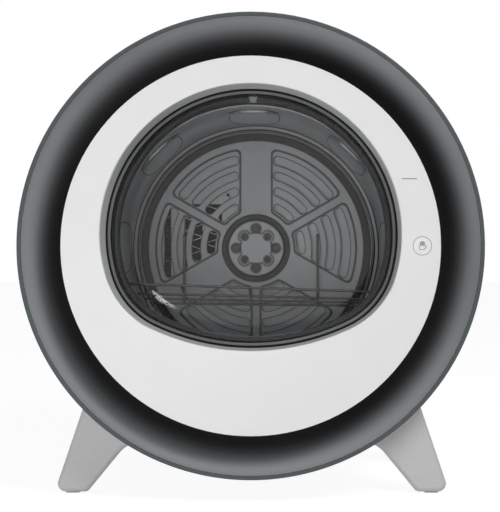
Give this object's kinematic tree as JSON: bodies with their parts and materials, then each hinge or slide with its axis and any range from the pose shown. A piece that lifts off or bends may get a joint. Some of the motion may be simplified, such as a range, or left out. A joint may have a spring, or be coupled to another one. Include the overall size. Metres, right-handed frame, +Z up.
{
  "type": "compact tumble dryer",
  "caption": "Compact round tumble dryer on four splayed legs, with a round door, a D-shaped smoked window, a belt-driven drum and a rear hose collar.",
  "frame": {"origin": "floor level, in the middle of the machine's width and of its depth with the hose collar", "axes": "+Z up, the door faces -Y, +X to the right of someone facing the door"},
  "size_m": [0.5, 0.39, 0.525],
  "materials": {
    "casing_white": "satin white paint",
    "cove_anthracite": "satin anthracite moulding",
    "rim_slate": "satin slate lacquer",
    "bulkhead_grey": "dark grey moulding",
    "seal_rubber": "matt black",
    "felt": "pressed grey felt",
    "lamp_lens": "frosted lens",
    "zinc_sheet": "galvanised sheet",
    "bearing_cast": "grey casting",
    "bearing_steel": "ground steel",
    "duct_aluminium": "folded sheet",
    "fin_aluminium": "bright corrugated foil",
    "motor_grey": "grey paint",
    "post_steel": "zinc plated",
    "duct_plastic": "dark moulding",
    "filter_plastic": "grey moulding",
    "collar_plastic": "light grey moulding",
    "rear_plastic": "light grey moulding",
    "screw_steel": "zinc plated",
    "panel_plastic": "satin anthracite",
    "board_plastic": "lacquered board",
    "timer_plastic": "black moulding",
    "latch_plastic": "white moulding",
    "switch_plastic": "black moulding",
    "hinge_steel": "zinc plated",
    "belt_rubber": "ribbed black rubber",
    "spring_steel": "oiled spring steel",
    "leg_satin": "fine textured light grey",
    "foot_rubber": "matt black",
    "gland_rubber": "matt black",
    "door_white": "smooth white",
    "badge_white": "smooth white",
    "well_grey": "satin grey moulding",
    "gasket_rubber": "black rubber",
    "retainer_satin": "satin grey",
    "smoked_glass": "smoked glass",
    "frame_plastic": "grey moulding",
    "drum_steel": "satin stainless steel",
    "hub_steel": "satin stainless steel",
    "shaft_steel": "turned steel",
    "rack_chrome": "dull plated wire",
    "fan_plastic": "grey moulding",
    "pulley_plastic": "natural nylon",
    "knob_plastic": "light grey moulding",
    "button_plastic": "light grey moulding",
    "grille_plastic": "dark grey moulding"
  },
  "bodies": {
    "cabinet": {"casing_shell": "casing_white", "front_bezel": "cove_anthracite", "rim_trim": "rim_slate", "front_bulkhead": "bulkhead_grey", "door_seal": "seal_rubber", "front_felt_ring": "felt", "drum_lamp": "lamp_lens", "rear_bulkhead": "zinc_sheet", "rear_felt_ring": "felt", "bearing_housing": "bearing_cast", "shaft_bearing": "bearing_steel", "heater_duct": "duct_aluminium", "ptc_heater": "fin_aluminium", "motor_body": "motor_grey", "motor_posts": "post_steel", "exhaust_duct": "duct_plastic", "lint_filter": "filter_plastic", "blower_housing": "duct_plastic", "exhaust_collar": "collar_plastic", "rear_cover": "rear_plastic", "casing_screws": "screw_steel", "control_panel": "panel_plastic", "control_board": "board_plastic", "timer_unit": "timer_plastic", "latch_catch": "latch_plastic", "door_switch": "switch_plastic", "hinge_bracket": "hinge_steel", "hinge_pin": "hinge_steel", "drum_belt": "belt_rubber", "idler_spring": "spring_steel", "leg_front_left": "leg_satin", "leg_front_right": "leg_satin", "leg_rear_left": "leg_satin", "leg_rear_right": "leg_satin", "foot_pads": "foot_rubber", "cord_gland": "gland_rubber"},
    "door": {"door_cover": "door_white", "push_badge": "badge_white", "window_well": "well_grey", "glass_gasket": "gasket_rubber", "retainer_ring": "retainer_satin", "door_glass": "smoked_glass", "door_inner_frame": "frame_plastic", "door_screws": "screw_steel", "hinge_arm": "hinge_steel", "latch_hook": "latch_plastic"},
    "drum": {"drum_shell": "drum_steel", "drum_back": "drum_steel", "hub_plate": "hub_steel", "hub_screws": "screw_steel", "drum_shaft": "shaft_steel", "shoe_rack": "rack_chrome"},
    "rotor": {"motor_rotor": "shaft_steel", "fan_wheel": "fan_plastic"},
    "idler_lever": {"idler_arm": "post_steel"},
    "idler_wheel": {"idler_pulley": "pulley_plastic"},
    "knob": {"timer_knob": "knob_plastic"},
    "button": {"start_button": "button_plastic"},
    "plunger": {"latch_plunger": "latch_plastic"},
    "filter": {"intake_filter": "grille_plastic"}
  },
  "joints": [
    {"name": "door_hinge", "type": "hinge", "parent": "cabinet", "child": "door", "pos_m": [-0.19, -0.179, 0.275], "axis": [0, 0, -1], "range_deg": [0, 100]},
    {"name": "drum_spin", "type": "hinge", "parent": "cabinet", "child": "drum", "pos_m": [0, 0.005, 0.275], "axis": [0, 1, 0], "continuous": true},
    {"name": "rotor_spin", "type": "hinge", "parent": "cabinet", "child": "rotor", "pos_m": [0.12984, 0.085, 0.12026], "axis": [0, 1, 0], "continuous": true},
    {"name": "idler_swing", "type": "hinge", "parent": "cabinet", "child": "idler_lever", "pos_m": [0.18016, 0.095, 0.20784], "axis": [0, -1, 0], "range_deg": [0, 8], "stiffness_Nm_per_rad": 2, "springref_deg": -8.59},
    {"name": "idler_spin", "type": "hinge", "parent": "idler_lever", "child": "idler_wheel", "pos_m": [0.16138, 0.086, 0.17054], "axis": [0, 1, 0], "continuous": true},
    {"name": "timer_turn", "type": "hinge", "parent": "cabinet", "child": "knob", "pos_m": [-0.035, 0.01, 0.50298], "axis": [0, 0, -1], "range_deg": [0, 300]},
    {"name": "start_press", "type": "slide", "parent": "cabinet", "child": "button", "axis": [0, 0, -1], "range_m": [0, 0.002], "stiffness_N_per_m": 600, "springref_m": -0.001},
    {"name": "latch_press", "type": "slide", "parent": "cabinet", "child": "plunger", "axis": [0, 1, 0], "range_m": [0, 0.005], "stiffness_N_per_m": 400, "springref_m": -0.002},
    {"name": "filter_slide", "type": "slide", "parent": "cabinet", "child": "filter", "axis": [0, 1, 0], "range_m": [0, 0.025]}
  ],
  "couplings": [
    {"joint": "rotor_spin", "follows": "drum_spin", "ratio": 18.2},
    {"joint": "idler_spin", "follows": "drum_spin", "ratio": -13.65}
  ]
}
